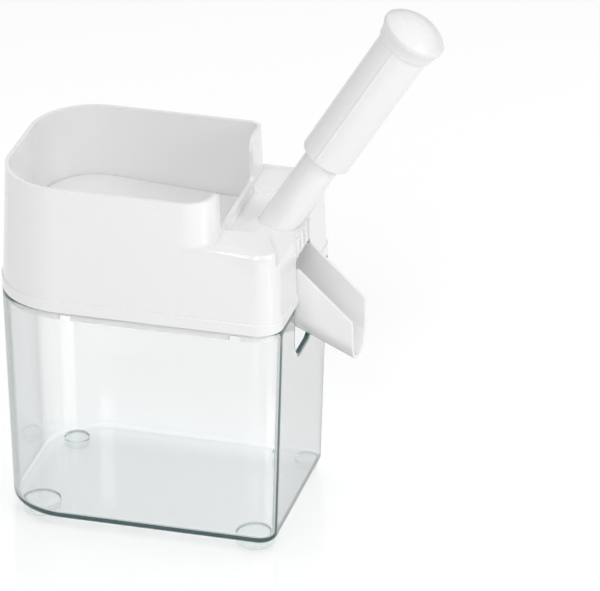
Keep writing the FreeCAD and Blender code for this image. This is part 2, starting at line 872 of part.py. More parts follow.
def makeSpring():
    steps = springTurns * 2
    edges = []
    for index in range(steps):
        first, last = index / 2, (index + 1) / 2
        edges += biarc(springPoint(first), springTangent(first), springPoint(last), springTangent(last))
    path = Part.Wire(Part.__sortEdges__(edges))
    start = springPoint(0)
    aside = vec(start.x, start.y, 0).normalize()
    along = springTangent(0).cross(aside)
    corners = []
    for index in range(wireSides):
        angle = 2 * math.pi * index / wireSides
        reach = aside * (wireRadius * math.cos(angle))
        corners.append(start + reach + along * (wireRadius * math.sin(angle)))
    section = Part.makePolygon(corners + corners[:1])
    spring = path.makePipeShell([section], True, False)
    area = Part.Face(section).Area
    print("spring volume over section times length", round(spring.Volume / (area * path.Length), 4))
    samples = [springPoint(index / 24) for index in range(springTurns * 24 + 1)]
    gap = min(
        samples[a].distanceToPoint(samples[b]) - 2 * wireRadius
        for a in range(len(samples))
        for b in range(a + 12, min(a + 60, len(samples)))
    )
    print("spring least gap to itself", round(gap, 3))
    return onPlunger(spring)


os.makedirs("parts", exist_ok=True)

save("container", makeContainer())
for footName, footPlace in footPlaces().items():
    save(footName, makeFoot(*footPlace))
save("housing", makeHousing())
save("feed_tray", makeFeedTray())
save("seat_holder", makeSeatHolder())
save("cherry_seat", makeCherrySeat())
save("seat_retainer", makeSeatRetainer())
save("chute", makeChute())
save("guide_tube", makeGuideTube())
stripperTop = tubeBottom + stripperThickness
bushTop = stripperTop + bushLength
save("stripper_ring", makeTubeInsert(needleRadius + fitGap, tubeBottom, stripperTop))
save("guide_bush", makeTubeInsert(needleRadius + slideGap, stripperTop, bushTop))
save("spring_washer", makeTubeInsert(springRadius - wireRadius - 1, bushTop, springLow))
save("return_spring", makeSpring())
save("tube_screws", makeTubeScrews())
save("stop_ring", makeStopRing())
save("plunger_sleeve", makeSleeve())
save("sleeve_bush", makeEndBush())
save("plunger_rod", makePlungerRod())
save("needle_collet", makeCollet())
save("pitting_needle", makeNeedle())
save("knob_cap", makeKnobCap())
save("knob_screw", makeKnobScrew())
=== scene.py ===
import json
import math

import bmesh
import bpy
import numpy as np
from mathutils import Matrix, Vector


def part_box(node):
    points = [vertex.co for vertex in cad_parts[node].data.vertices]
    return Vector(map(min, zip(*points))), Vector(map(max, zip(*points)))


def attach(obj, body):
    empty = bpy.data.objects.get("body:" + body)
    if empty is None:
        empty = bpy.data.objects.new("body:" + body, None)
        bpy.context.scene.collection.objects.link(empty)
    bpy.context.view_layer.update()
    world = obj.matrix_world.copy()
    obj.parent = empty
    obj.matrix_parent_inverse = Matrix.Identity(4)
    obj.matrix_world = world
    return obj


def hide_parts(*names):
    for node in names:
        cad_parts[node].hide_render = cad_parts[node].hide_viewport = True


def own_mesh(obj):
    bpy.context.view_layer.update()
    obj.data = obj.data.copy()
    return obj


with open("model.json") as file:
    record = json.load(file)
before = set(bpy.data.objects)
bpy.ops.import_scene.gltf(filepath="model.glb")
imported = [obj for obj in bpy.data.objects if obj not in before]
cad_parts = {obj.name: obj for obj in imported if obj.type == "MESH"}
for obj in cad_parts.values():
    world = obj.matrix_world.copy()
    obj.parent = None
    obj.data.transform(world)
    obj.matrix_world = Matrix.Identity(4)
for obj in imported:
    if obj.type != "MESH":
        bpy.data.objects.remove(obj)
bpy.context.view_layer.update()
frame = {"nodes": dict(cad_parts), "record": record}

mm = 0.001
quarterTurn = math.pi / 2
fullTurn = 2 * math.pi
rimMiddleX = -36.528 * mm  # middle of the container's rim outline, from which its sizes count

# Fitted to the photograph: azimuth and elevation in degrees, lengths in metres
cameraView = {
    "azimuth": 14.889,
    "elevation": 26.529,
    "distance": 2.872,
    "target": (0.0405, 0.0, 0.12766),
    "focalPixels": 5434.65,
    "imageWidth": 600,
    "sensor": 36.0,
    "nearest": 0.05,
    "farthest": 50,
}


def addCamera(view):
    turn = math.radians(view["azimuth"])
    rise = math.radians(view["elevation"])
    level = math.cos(rise)
    back = Vector((math.sin(turn) * level, -math.cos(turn) * level, math.sin(rise)))
    data = bpy.data.cameras.new("photoCamera")
    data.sensor_width = view["sensor"]
    data.lens = view["sensor"] * view["focalPixels"] / view["imageWidth"]
    data.clip_start = view["nearest"]
    data.clip_end = view["farthest"]
    camera = bpy.data.objects.new("photoCamera", data)
    bpy.context.scene.collection.objects.link(camera)
    camera.location = Vector(view["target"]) + back * view["distance"]
    camera.rotation_mode = "QUATERNION"
    camera.rotation_quaternion = (-back).to_track_quat("-Z", "Y")
    bpy.context.scene.camera = camera


addCamera(cameraView)
print("stage: camera")


# A new node, with its sockets and its own settings given by name
def node(tree, kind, **values):
    made = tree.nodes.new(kind)
    for name, value in values.items():
        if name in made.inputs:
            made.inputs[name].default_value = value
        else:
            setattr(made, name, value)
    return made


# A socket takes either a plain value or another node's output
def feed(tree, socket, value):
    if isinstance(value, bpy.types.NodeSocket):
        tree.links.new(value, socket)
    else:
        socket.default_value = value


def mathNode(tree, operation, first, second):
    made = node(tree, "ShaderNodeMath", operation=operation)
    feed(tree, made.inputs[0], first)
    feed(tree, made.inputs[1], second)
    return made.outputs[0]


# The Mix node's names repeat for each kind of value: 6, 7 and 2 are its two colours and their mix
def mixColors(tree, share, first, second, blend="MIX"):
    made = node(tree, "ShaderNodeMix", data_type="RGBA", blend_type=blend)
    feed(tree, made.inputs[0], share)
    feed(tree, made.inputs[6], first)
    feed(tree, made.inputs[7], second)
    return made.outputs[2]


# Noise of the moulded surfaces, its scale per metre, and the depth of the peel in metres
mouldGrain = {
    "broad": {"Scale": 14.0, "Detail": 3.0, "Roughness": 0.5},
    "smudge": {"Scale": 60.0, "Detail": 5.0, "Roughness": 0.6},
    "peel": {"Scale": 900.0, "Detail": 2.0, "Roughness": 0.5},
    "peelDepth": 0.0002,
}


# Moulded surface: broad unevenness of tone, smudges in the gloss and a fine orange peel
def buildMouldGroup(grain):
    group = bpy.data.node_groups.new("mouldedSurface", "ShaderNodeTree")
    face = group.interface
    for name, kind, default in (
        ("Tone A", "NodeSocketColor", (0.9, 0.9, 0.9, 1)),
        ("Tone B", "NodeSocketColor", (0.86, 0.86, 0.86, 1)),
        ("Roughness Low", "NodeSocketFloat", 0.2),
        ("Roughness High", "NodeSocketFloat", 0.3),
        ("Peel", "NodeSocketFloat", 0.05),
    ):
        socket = face.new_socket(name, in_out="INPUT", socket_type=kind)
        socket.default_value = default
    face.new_socket("Color", in_out="OUTPUT", socket_type="NodeSocketColor")
    face.new_socket("Roughness", in_out="OUTPUT", socket_type="NodeSocketFloat")
    face.new_socket("Normal", in_out="OUTPUT", socket_type="NodeSocketVector")
    source = group.nodes.new("NodeGroupInput")
    result = group.nodes.new("NodeGroupOutput")
    where = group.nodes.new("ShaderNodeTexCoord")
    noise = {}
    for name in ("broad", "smudge", "peel"):
        texture = node(group, "ShaderNodeTexNoise", **grain[name])
        group.links.new(where.outputs["Object"], texture.inputs["Vector"])
        noise[name] = texture.outputs["Fac"]
    tone = mixColors(group, noise["broad"], source.outputs["Tone A"], source.outputs["Tone B"])
    span = group.nodes.new("ShaderNodeMapRange")
    group.links.new(noise["smudge"], span.inputs["Value"])
    group.links.new(source.outputs["Roughness Low"], span.inputs["To Min"])
    group.links.new(source.outputs["Roughness High"], span.inputs["To Max"])
    bump = node(group, "ShaderNodeBump", Distance=grain["peelDepth"])
    group.links.new(noise["peel"], bump.inputs["Height"])
    group.links.new(source.outputs["Peel"], bump.inputs["Strength"])
    group.links.new(tone, result.inputs["Color"])
    group.links.new(span.outputs["Result"], result.inputs["Roughness"])
    group.links.new(bump.outputs["Normal"], result.inputs["Normal"])
    return group


# Each finish: two tones that the surface wanders between, lowest and highest roughness, strength of
# the peel, and the shader's own sockets
finishes = {
    "whitePlastic": {
        "tones": ((0.885, 0.882, 0.882), (0.86, 0.857, 0.857)),
        "roughness": (0.08, 0.15),
        "peel": 0.03,
        "sockets": {"IOR": 1.5, "Coat Weight": 0.5, "Coat Roughness": 0.04},
    },
    "sleevePlastic": {
        "tones": ((0.885, 0.882, 0.882), (0.86, 0.857, 0.857)),
        "roughness": (0.14, 0.22),
        "peel": 0.04,
        "sockets": {"IOR": 1.5, "Coat Weight": 0.2, "Coat Roughness": 0.08},
    },
    # cap: rougher and uncoated, with tones darker than the white plastic as painted shade on the
    # dome
    "capPlasticWithPaintedShade": {
        "tones": ((0.85, 0.848, 0.85), (0.82, 0.818, 0.82)),
        "roughness": (0.22, 0.32),
        "peel": 0.05,
        "sockets": {"IOR": 1.5},
    },
    "seatSilicone": {
        "tones": ((0.8, 0.8, 0.78), (0.74, 0.74, 0.72)),
        "roughness": (0.4, 0.55),
        "peel": 0.12,
        "sockets": {"IOR": 1.41, "Subsurface Weight": 0.4, "Subsurface Scale": 0.003},
    },
    "steel": {
        "tones": ((0.62, 0.62, 0.63), (0.5, 0.5, 0.52)),
        "roughness": (0.18, 0.32),
        "peel": 0.03,
        "sockets": {"Metallic": 1.0},
    },
    "clearPlastic": {
        "tones": ((0.995, 0.995, 0.995), (0.985, 0.987, 0.987)),
        "roughness": (0.0, 0.02),
        "peel": 0.008,
        "sockets": {"IOR": 1.49, "Transmission Weight": 1.0},
    },
    "footSilicone": {
        "tones": ((0.975, 0.985, 0.985), (0.96, 0.975, 0.975)),
        "roughness": (0.02, 0.08),
        "peel": 0.02,
        "sockets": {"IOR": 1.42, "Transmission Weight": 0.97},
    },
}


def addFinish(name, finish, mouldGroup):
    material = bpy.data.materials.new(name)
    material.use_nodes = True
    tree = material.node_tree
    shader = tree.nodes["Principled BSDF"]
    for socket, value in finish["sockets"].items():
        shader.inputs[socket].default_value = value
    mould = node(tree, "ShaderNodeGroup", name="mould", node_tree=mouldGroup)
    firstTone, secondTone = finish["tones"]
    mould.inputs["Tone A"].default_value = (*firstTone, 1)
    mould.inputs["Tone B"].default_value = (*secondTone, 1)
    mould.inputs["Roughness Low"].default_value = finish["roughness"][0]
    mould.inputs["Roughness High"].default_value = finish["roughness"][1]
    mould.inputs["Peel"].default_value = finish["peel"]
    tree.links.new(mould.outputs["Color"], shader.inputs["Base Color"])
    tree.links.new(mould.outputs["Roughness"], shader.inputs["Roughness"])
    tree.links.new(mould.outputs["Normal"], shader.inputs["Normal"])
    return material


# Clear walls: their tone and its density per metre in depth, and what they leave of lamplight
clearWalls = {
    "clearPlastic": {"deep": (0.84, 0.89, 0.89), "density": 16.0, "lamp": (0.95, 0.965, 0.965)},
    "footSilicone": {"deep": (0.8, 0.9, 0.9), "density": 8.0, "lamp": (0.9, 0.93, 0.93)},
}
trappedDepth = 2.5  # a ray mirrored more often than this is let out
# painted reflection on the clear walls' turned-away sides: its grey tone and how fast it comes in
paintedEdgeReflection = {"tone": (0.4, 0.41, 0.41), "blend": 0.5, "power": 3.0}


# Where a clear wall turns away from the eye its colour is painted greyer: a painted reflection of a
# studio's dark sides
def paintEdgeReflection(material, edge):
    tree = material.node_tree
    turned = node(tree, "ShaderNodeLayerWeight", Blend=edge["blend"])
    share = mathNode(tree, "POWER", turned.outputs["Facing"], edge["power"])
    tone = mixColors(tree, share, tree.nodes["mould"].outputs["Color"], (*edge["tone"], 1))
    tree.links.new(tone, tree.nodes["Principled BSDF"].inputs["Base Color"])


def tintThrough(material, color, density):
    tree = material.node_tree
    absorb = node(tree, "ShaderNodeVolumeAbsorption", Color=(*color, 1), Density=density)
    tree.links.new(absorb.outputs["Volume"], tree.nodes["Material Output"].inputs["Volume"])


# Rays that look for a lamp pass straight through clear walls, so the shadow behind them stays pale,
# and so do rays that were mirrored inside a wall many times, which would otherwise end black
def passLamps(material, tone):
    tree = material.node_tree
    path = tree.nodes.new("ShaderNodeLightPath")
    trapped = mathNode(tree, "GREATER_THAN", path.outputs["Glossy Depth"], trappedDepth)
    passing = mathNode(tree, "MAXIMUM", path.outputs["Is Shadow Ray"], trapped)
    straight = node(tree, "ShaderNodeBsdfTransparent", Color=(*tone, 1))
    mix = tree.nodes.new("ShaderNodeMixShader")
    tree.links.new(passing, mix.inputs[0])
    tree.links.new(tree.nodes["Principled BSDF"].outputs[0], mix.inputs[1])
    tree.links.new(straight.outputs[0], mix.inputs[2])
    tree.links.new(mix.outputs[0], tree.nodes["Material Output"].inputs["Surface"])


mouldedSurface = buildMouldGroup(mouldGrain)
materials = {name: addFinish(name, finish, mouldedSurface) for name, finish in finishes.items()}
# painted reflection: the clear plastic turns greyer where it faces away
paintEdgeReflection(materials["clearPlastic"], paintedEdgeReflection)
for wallName, wall in clearWalls.items():
    tintThrough(materials[wallName], wall["deep"], wall["density"])
    passLamps(materials[wallName], wall["lamp"])

slotMaterial = {
    "white_plastic": materials["whitePlastic"],
    "clear_plastic": materials["clearPlastic"],
    "foot_silicone": materials["footSilicone"],
    "seat_silicone": materials["seatSilicone"],
    "steel": materials["steel"],
}
slotOf = {entry["node"]: entry["material_slot"] for entry in frame["record"]["subparts"]}
bodyOf = {
    name: body
    for body, names in frame["record"]["behaviour"]["bodies"].items()
    for name in names
}
for name, slotName in slotOf.items():
    for place in frame["nodes"][name].material_slots:
        place.material = slotMaterial[slotName]

print("stage: materials")

meshCare = {
    "merge": 1e-6,  # points nearer than this become one, in metres
    "thin": 1e-7,  # and edges shorter than this go
    "sharp": 35,  # edges that turn more than this many degrees are shaded sharp
    "sharpClear": 50,
    "sharpSoft": 30,
}


# Put a finished mesh in the scene in place of a CAD node, closed, outward and smooth
def putPiece(name, mesh, replaced, material=None, sharp=meshCare["sharp"]):
    shape = bmesh.new()
    shape.from_mesh(mesh)
    bmesh.ops.remove_doubles(shape, verts=shape.verts, dist=meshCare["merge"])
    bmesh.ops.dissolve_degenerate(shape, edges=shape.edges, dist=meshCare["thin"])
    if shape.calc_volume(signed=True) < 0:
        bmesh.ops.reverse_faces(shape, faces=shape.faces)
    shape.to_mesh(mesh)
    shape.free()
    mesh.shade_smooth()
    mesh.set_sharp_from_angle(angle=math.radians(sharp))
    piece = bpy.data.objects.new(name, mesh)
    bpy.context.scene.collection.objects.link(piece)
    mesh.materials.clear()
    mesh.materials.append(material or slotMaterial[slotOf[replaced]])
    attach(piece, bodyOf[replaced])
    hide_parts(replaced)
    return piece


# Grid of points (columns, rows, 3) to a mesh; either way round may be closed
def gridMesh(name, points, closeColumns=True, closeRows=False):
    columns, rows = points.shape[:2]
    lastColumn = columns if closeColumns else columns - 1
    lastRow = rows if closeRows else rows - 1
    a, b = np.meshgrid(np.arange(lastColumn), np.arange(lastRow), indexing="ij")
    here, beside = a * rows, (a + 1) % columns * rows
    above = (b + 1) % rows
    faces = np.stack([here + b, beside + b, beside + above, here + above], axis=-1)
    mesh = bpy.data.meshes.new(name)
    mesh.from_pydata(points.reshape(-1, 3).tolist(), [], faces.reshape(-1, 4).tolist())
    return mesh


# Profile of corners (radius, height, rounding): each corner becomes an arc that touches both its
# sides, and long straight sides get a point near each end, so that they shade flat
def roundedProfile(corners, closed=True, steps=5, hold=0.35):
    count = len(corners)
    place = np.array([corner[:2] for corner in corners], dtype=float)
    runs = []
    for index, corner in enumerate(corners):
        here, radius = place[index], corner[2]
        if radius <= 0 or (not closed and index in (0, count - 1)):
            runs.append(here[None, :])
            continue
        before = place[index - 1] - here
        after = place[(index + 1) % count] - here
        before /= np.linalg.norm(before)
        after /= np.linalg.norm(after)
        half = math.acos(np.clip(before @ after, -1, 1)) / 2
        reach = radius / math.tan(half)
        inward = (before + after) / np.linalg.norm(before + after)
        centre = here + inward * radius / math.sin(half)
        start = here + before * reach - centre
        end = here + after * reach - centre
        share = np.linspace(0, 1, steps + 1)[:, None]
        swing = math.pi - 2 * half
        arc = np.sin((1 - share) * swing) * start + np.sin(share * swing) * end
        runs.append(centre + arc / math.sin(swing))
    whole = []
    last = count if closed else count - 1
    for index in range(count):
        whole.append(runs[index])
        if index < last:
            start, end = runs[index][-1], runs[(index + 1) % count][0]
            length = np.linalg.norm(end - start)
            if length > 3 * hold:
                step = (end - start) / length * hold
                whole.append(np.stack([start + step, end - step]))
    return np.vstack(whole)


# Turn a profile (radius, height in mm) round an axis: origin plus height along the axis plus radius
# times the cosine and sine of the turn along the two cross directions. A seam adds two lengthwise
# ridges, half a turn apart, to the outer skin: its height times a bell curve of the way round
def turnedMesh(name, profile, origin, axis, segments, closeRows=True, seam=None):
    axis = np.array(axis, dtype=float)
    across = np.array([axis[2], 0.0, -axis[0]])
    aside = np.array([0.0, 1.0, 0.0])
    turn = np.linspace(0, fullTurn, segments, endpoint=False)[:, None, None]
    radius = profile[None, :, 0:1] * mm
    height = profile[None, :, 1:2] * mm
    if seam:
        swing = (turn - math.radians(seam["turn"]) + quarterTurn) % math.pi - quarterTurn
        away = np.abs(swing) * radius / mm
        outer = profile[None, :, 0:1] > seam["beyond"]
        radius = radius + outer * seam["height"] * mm * np.exp(-(away / seam["width"]) ** 2)
    ring = np.cos(turn) * across + np.sin(turn) * aside
    points = np.array(origin) + height * axis + radius * ring
    return gridMesh(name, points, closeRows=closeRows)


# Lengths are in mm from here on. The container's x counts from the middle of its rim outline
containerSize = {
    "halfLength": 80.0,
    "halfDepth": 58.1,
    "cornerLeft": 39.0,
    "cornerRight": 13.0,
    "baseZ": 5.0,
    "rimZ": 130.7,
    "wall": 2.5,
    "draft": 0.028,
    "baseRounding": 3.0,
    "innerRounding": 2.2,
    "lip": 0.8,
    "notchTop": 20.0,
    "notchLow": 19.3,
    "notchZ": 99.0,
    "notchRounding": 12.0,
    "notchLip": 1.2,
    "notchMargin": 1.0,
}

# Points along each stretch of the outline, and the shares at which rows lie up the walls and out
# over the floor
containerGrid = {
    "notchLip": 6,
    "notchSide": 14,
    "notchBend": 19,
    "notchFloor": 5,
    "endWall": 7,
    "cornerLeft": 40,
    "cornerRight": 22,
    "side": 14,
    "bend": 7,
    "lip": 5,
    "wallShares": (0.01, 0.1, 0.3, 0.5, 0.7, 0.85, 0.97),
    "floorShares": (0, 0.25, 0.5, 0.75, 0.9, 0.98),
}


# Half of the notch's edge as (y, z), from the rim down to the middle: a lip arc, a steep side, an
# arc and a flat floor
def notchEdge(size, grid):
    lip, rounding, rimZ = size["notchLip"], size["notchRounding"], size["rimZ"]
    lipTurn = np.linspace(0, quarterTurn, grid["notchLip"])
    lipY = size["notchTop"] + lip * (1 - np.sin(lipTurn))
    lipZ = rimZ - lip * (1 - np.cos(lipTurn))
    arcZ = size["notchZ"] + rounding
    fall = np.linspace(0, 1, grid["notchSide"])[1:]
    sideY = size["notchTop"] + (size["notchLow"] - size["notchTop"]) * fall
    sideZ = rimZ - lip + (arcZ - rimZ + lip) * fall
    bend = np.linspace(0, quarterTurn, grid["notchBend"])[1:]
    bendY = size["notchLow"] - rounding * (1 - np.cos(bend))
    bendZ = arcZ - rounding * np.sin(bend)
    flatY = np.linspace(bendY[-1], 0, grid["notchFloor"])[1:]
    y = np.concatenate([lipY, sideY, bendY, flatY])
    z = np.concatenate([lipZ, sideZ, bendZ, np.full(len(flatY), size["notchZ"])])
    return y, z


# Rim outline: straight sides and corner arcs, with the outward direction and the wall's top height
def rimPath(size, grid):
    long, deep, rimZ = size["halfLength"], size["halfDepth"], size["rimZ"]
    left, right = size["cornerLeft"], size["cornerRight"]
    points, normals, tops = [], [], []

    def addArc(x, y, radius, start, count):
        turn = np.radians(start + np.linspace(0, 90, count))
        out = np.stack([np.cos(turn), np.sin(turn)], axis=1)
        points.append(np.array([x, y]) + out * radius)
        normals.append(out)
        tops.append(np.full(count, rimZ))

    def addSide(start, end, shares, out):
        start, end = np.array(start), np.array(end)
        points.append(start + (end - start) * shares[:, None])
        normals.append(np.tile(np.array(out, dtype=float), (len(shares), 1)))
        tops.append(np.full(len(shares), rimZ))

    def addNotchedEnd():
        y, z = notchEdge(size, grid)
        plain = np.linspace(-deep + right, -y[0] - size["notchMargin"], grid["endWall"])[1:]
        plainZ = np.full(len(plain), rimZ)
        sideY = np.concatenate([plain, -y, y[::-1][1:], -plain[::-1]])
        points.append(np.stack([np.full(len(sideY), long), sideY], axis=1))
        normals.append(np.tile(np.array([1.0, 0.0]), (len(sideY), 1)))
        tops.append(np.concatenate([plainZ, z, z[::-1][1:], plainZ]))

    along = np.linspace(0, 1, grid["side"])[1:-1]
    addArc(long - right, -deep + right, right, -90, grid["cornerRight"])
    addNotchedEnd()
    addArc(long - right, deep - right, right, 0, grid["cornerRight"])
    addSide((long - right, deep), (-long + left, deep), along, (0, 1))
    addArc(-long + left, deep - left, left, 90, grid["cornerLeft"])
    addSide((-long, deep - left), (-long, -deep + left), along[::3], (-1, 0))
    addArc(-long + left, -deep + left, left, 180, grid["cornerLeft"])
    addSide((-long + left, -deep), (long - right, -deep), along, (0, -1))
    return np.vstack(points), np.vstack(normals), np.concatenate(tops)


# Container: every rim point is carried from the middle of the base out and up the outer wall, over
# the lip, down the inner wall and back to the middle. A wall leans in by the draft for each mm that
# it is below the rim
def addContainer(size, grid):
    path, out, top = rimPath(size, grid)
    rows = []

    def addRow(inset, height):
        height = np.broadcast_to(height, top.shape)
        flat = path - out * np.broadcast_to(inset, top.shape)[:, None]
        rows.append(np.concatenate([flat, height[:, None]], axis=1))

    def drafted(height):
        return size["draft"] * (size["rimZ"] - height)

    def addRings(inset, height, shares):
        flat = path - out * inset
        for share in shares:
            level = np.full((len(flat), 1), height)
            rows.append(np.concatenate([flat * share, level], axis=1))

    baseZ, bend, wall, lip = size["baseZ"], size["baseRounding"], size["wall"], size["lip"]
    floorZ, innerBend = baseZ + wall, size["innerRounding"]
    wallShares, floorShares = grid["wallShares"], grid["floorShares"]
    bendTurns = np.linspace(0, quarterTurn, grid["bend"])
    lipTurns = np.linspace(0, quarterTurn, grid["lip"])
    addRings(drafted(baseZ) + bend, baseZ, (*floorShares, 1))
    for turn in bendTurns[1:]:
        height = baseZ + bend * (1 - math.cos(turn))
        addRow(drafted(height) + bend * (1 - math.sin(turn)), height)
    for share in (*wallShares, 1.0):
        height = baseZ + bend + (top - lip - baseZ - bend) * share
        addRow(drafted(height), height)
    for turn in lipTurns[1:]:
        height = top - lip * (1 - math.sin(turn))
        addRow(drafted(height) + lip * (1 - math.cos(turn)), height)
    for turn in lipTurns:
        height = top - lip * (1 - math.cos(turn))
        addRow(drafted(height) + wall - lip * (1 - math.sin(turn)), height)
    for share in (*wallShares[::-1], 0.0):
        height = floorZ + innerBend + (top - lip - floorZ - innerBend) * share
        addRow(drafted(height) + wall, height)
    for turn in bendTurns[::-1][1:]:
        height = floorZ + innerBend * (1 - math.cos(turn))
        addRow(drafted(height) + wall + innerBend * (1 - math.sin(turn)), height)
    addRings(drafted(floorZ) + wall + innerBend, floorZ, floorShares[::-1])
    points = np.stack(rows, axis=1) * mm
    points[:, :, 0] += rimMiddleX
    mesh = gridMesh("containerShell", points)
    putPiece("containerShell", mesh, "container", sharp=meshCare["sharpClear"])


addContainer(containerSize, containerGrid)

footSize = {"height": 4.98, "rounding": 1.1, "topRounding": 0.4, "segments": 72}


# Foot: a flat round pad with a rounded lower edge, under the container's base, as wide as its node
def addFoot(name, size):
    low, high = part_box(name)
    middle = (low + high) / 2
    radius = (high.x - low.x) / 2 / mm
    profile = roundedProfile([
        (0, 0, 0),
        (radius, 0, size["rounding"]),
        (radius, size["height"], size["topRounding"]),
        (0, size["height"], 0),
    ], closed=False)
    place = (middle.x, middle.y, 0.0)
    mesh = turnedMesh(name + "Pad", profile, place, (0, 0, 1), size["segments"], closeRows=False)
    putPiece(name + "Pad", mesh, name)


for footName in ("foot_front_left", "foot_front_right", "foot_rear_left", "foot_rear_right"):
    addFoot(footName, footSize)

print("stage: container and feet")

# Plunger line: a point at the sleeve's lower end, with x from the middle of the rim outline, and
# the lean from the vertical in degrees. The heights of the plunger's pieces count from that point
plungerLine = {"x": 91.004, "z": 210.399, "lean": 31.9, "travel": 40.0}
leanAngle = math.radians(plungerLine["lean"])
plungerAxis = (math.sin(leanAngle), 0.0, math.cos(leanAngle))
plungerOrigin = (plungerLine["x"] * mm + rimMiddleX, 0.0, plungerLine["z"] * mm)


# A round piece on the plunger line, from its profile's corners (radius, height, rounding)
def addTurned(name, replaced, corners, segments, material=None, seam=None):
    profile = roundedProfile(corners)
    mesh = turnedMesh(name, profile, plungerOrigin, plungerAxis, segments, seam=seam)
    putPiece(name, mesh, replaced, material)


sleeveSize = {
    "length": 79.5,
    "lowRadius": 13.85,
    "topRadius": 14.25,
    "bore": 12.2,
    "web": 74.0,
    "webWall": 3.0,
    "neck": 12.6,
    "neckWall": 2.2,
    "neckHeight": 6.0,
    "rodBore": 3.55,
    "boss": 5.4,
    "bossLength": 12.0,
    "screwBore": 1.8,
    "segments": 288,
}

# The ridge that the mould's halves leave: its turn in degrees, and the radius past which it shows
partingLine = {"turn": -104.5, "height": 0.3, "width": 0.6, "beyond": 13.5}


# Sleeve: one closed profile, from the rod's boss down the bore, up outside, and into the neck's cup
def addSleeve(size):
    top, web = size["length"], size["web"]
    bossLow, webTop = web - size["bossLength"], web + size["webWall"]
    neckTop, cup = top + size["neckHeight"], size["neck"] - size["neckWall"]
    addTurned("plungerSleeve", "plunger_sleeve", [
        (size["rodBore"], bossLow, 0.2),
        (size["boss"], bossLow, 0.4),
        (size["boss"], web, 0.5),
        (size["bore"], web, 0.6),
        (size["bore"], 0, 0.3),
        (size["lowRadius"], 0, 1.0),
        (size["topRadius"], top, 0.3),
        (size["neck"], top, 0.2),
        (size["neck"], neckTop, 0.4),
        (cup, neckTop, 0.4),
        (cup, webTop, 0.5),
        (size["screwBore"], webTop, 0.2),
        (size["screwBore"], web, 0),
        (size["rodBore"], web, 0),
    ], size["segments"], materials["sleevePlastic"], partingLine)


addSleeve(sleeveSize)

capSize = {
    "low": 79.5,
    "band": 10.0,  # height of the flare
    "dome": 7.5,
    "lowRadius": 15.3,
    "rimRadius": 17.5,
    "bore": 12.9,
    "wall": 3.9,
    "lip": 2.2,  # the lip starts this far under the rim
    "edge": 2.0,  # and is this round
    "hemHeight": 0.8,
    "hemFlare": 0.2,
    "flarePower": 1.6,
    "bandSteps": 9,
    "domeSteps": 18,
    "segments": 112,
}


# Knob cap: a hollow flare that widens by a power of its height, then a round lip that runs smoothly
# into a shallow dome, both circles
def addCap(size):
    low, rim, edge = size["low"], size["low"] + size["band"], size["edge"]
    top = rim + size["dome"]
    bore, rimRadius = size["bore"], size["rimRadius"]
    hemRadius, hemTop = size["lowRadius"] + size["hemFlare"], low + size["hemHeight"]
    inside = roundedProfile([
        (0, top - size["wall"], 0),
        (bore, rim, 0.5),
        (bore, low, 0.3),
        (size["lowRadius"], low, 0.5),
        (hemRadius, hemTop, 0),
    ], closed=False)
    share = np.linspace(0, 1, size["bandSteps"])[1:]
    rise = hemTop + (rim - size["lip"] - hemTop) * share
    swell = hemRadius + (rimRadius - hemRadius) * share ** size["flarePower"]
    flare = np.stack([swell, rise], axis=1)
    bend = (rimRadius ** 2 + size["dome"] ** 2) / (2 * size["dome"])
    lean = math.asin((rimRadius - edge) / (bend - edge))
    swing = np.linspace(0, quarterTurn - lean, size["bandSteps"])[1:]
    lipZ = top - bend + (bend - edge) * math.cos(lean)
    lipRadii = rimRadius - edge + edge * np.cos(swing)
    lip = np.stack([lipRadii, lipZ + edge * np.sin(swing)], axis=1)
    around = np.linspace(lean, 0, size["domeSteps"])[1:]
    dome = np.stack([bend * np.sin(around), top - bend + bend * np.cos(around)], axis=1)
    profile = np.vstack([inside, flare, lip, dome])
    mesh = turnedMesh(
        "knobCap", profile, plungerOrigin, plungerAxis, size["segments"], closeRows=False)
    # the cap's finish holds painted shade in its darker tones
    putPiece("knobCap", mesh, "knob_cap", materials["capPlasticWithPaintedShade"])


addCap(capSize)

rodSize = {
    "radius": 3.5,
    "low": -5.0,
    "high": 74.0,
    "needleBore": 1.95,
    "needleDeep": 1.0,
    "needleTip": 1.2,
    "screwBore": 1.55,
    "screwDeep": 68.5,
    "screwTip": 68.0,
    "segments": 48,
}


# Rod: a bar with a blind bore for the needle below and one for the knob's screw above, each with
# the cone that a drill leaves
def addRod(size):
    addTurned("plungerRod", "plunger_rod", [
        (size["needleBore"], size["low"], 0.15),
        (size["radius"], size["low"], 0.4),
        (size["radius"], size["high"], 0.3),
        (size["screwBore"], size["high"], 0.15),
        (size["screwBore"], size["screwDeep"], 0),
        (0, size["screwTip"], 0),
        (0, size["needleTip"], 0),
        (size["needleBore"], size["needleDeep"], 0),
    ], size["segments"])


addRod(rodSize)

colletSize = {
    "radius": 5.2,
    "low": -8.0,
    "high": 3.0,
    "rodBore": 3.55,
    "rodLow": -5.0,
    "needleBore": 1.95,
    "segments": 64,
}


# Collet: a round nut over the rod's end, which holds the needle in a narrower bore below
def addCollet(size):
    addTurned("needleCollet", "needle_collet", [
        (size["needleBore"], size["low"], 0.15),
        (size["radius"], size["low"], 0.6),
        (size["radius"], size["high"], 0.6),
        (size["rodBore"], size["high"], 0.2),
        (size["rodBore"], size["rodLow"], 0),
        (size["needleBore"], size["rodLow"], 0),
    ], size["segments"])


addCollet(colletSize)

springSize = {
    "radius": 6.45,
    "wire": 0.65,
    "turns": 12,
    "low": -50.0,
    "high": 74.0,
    "deadPitch": 1.9,
    "deadTurns": 0.75,
    "perTurn": 40,
    "sides": 12,
}


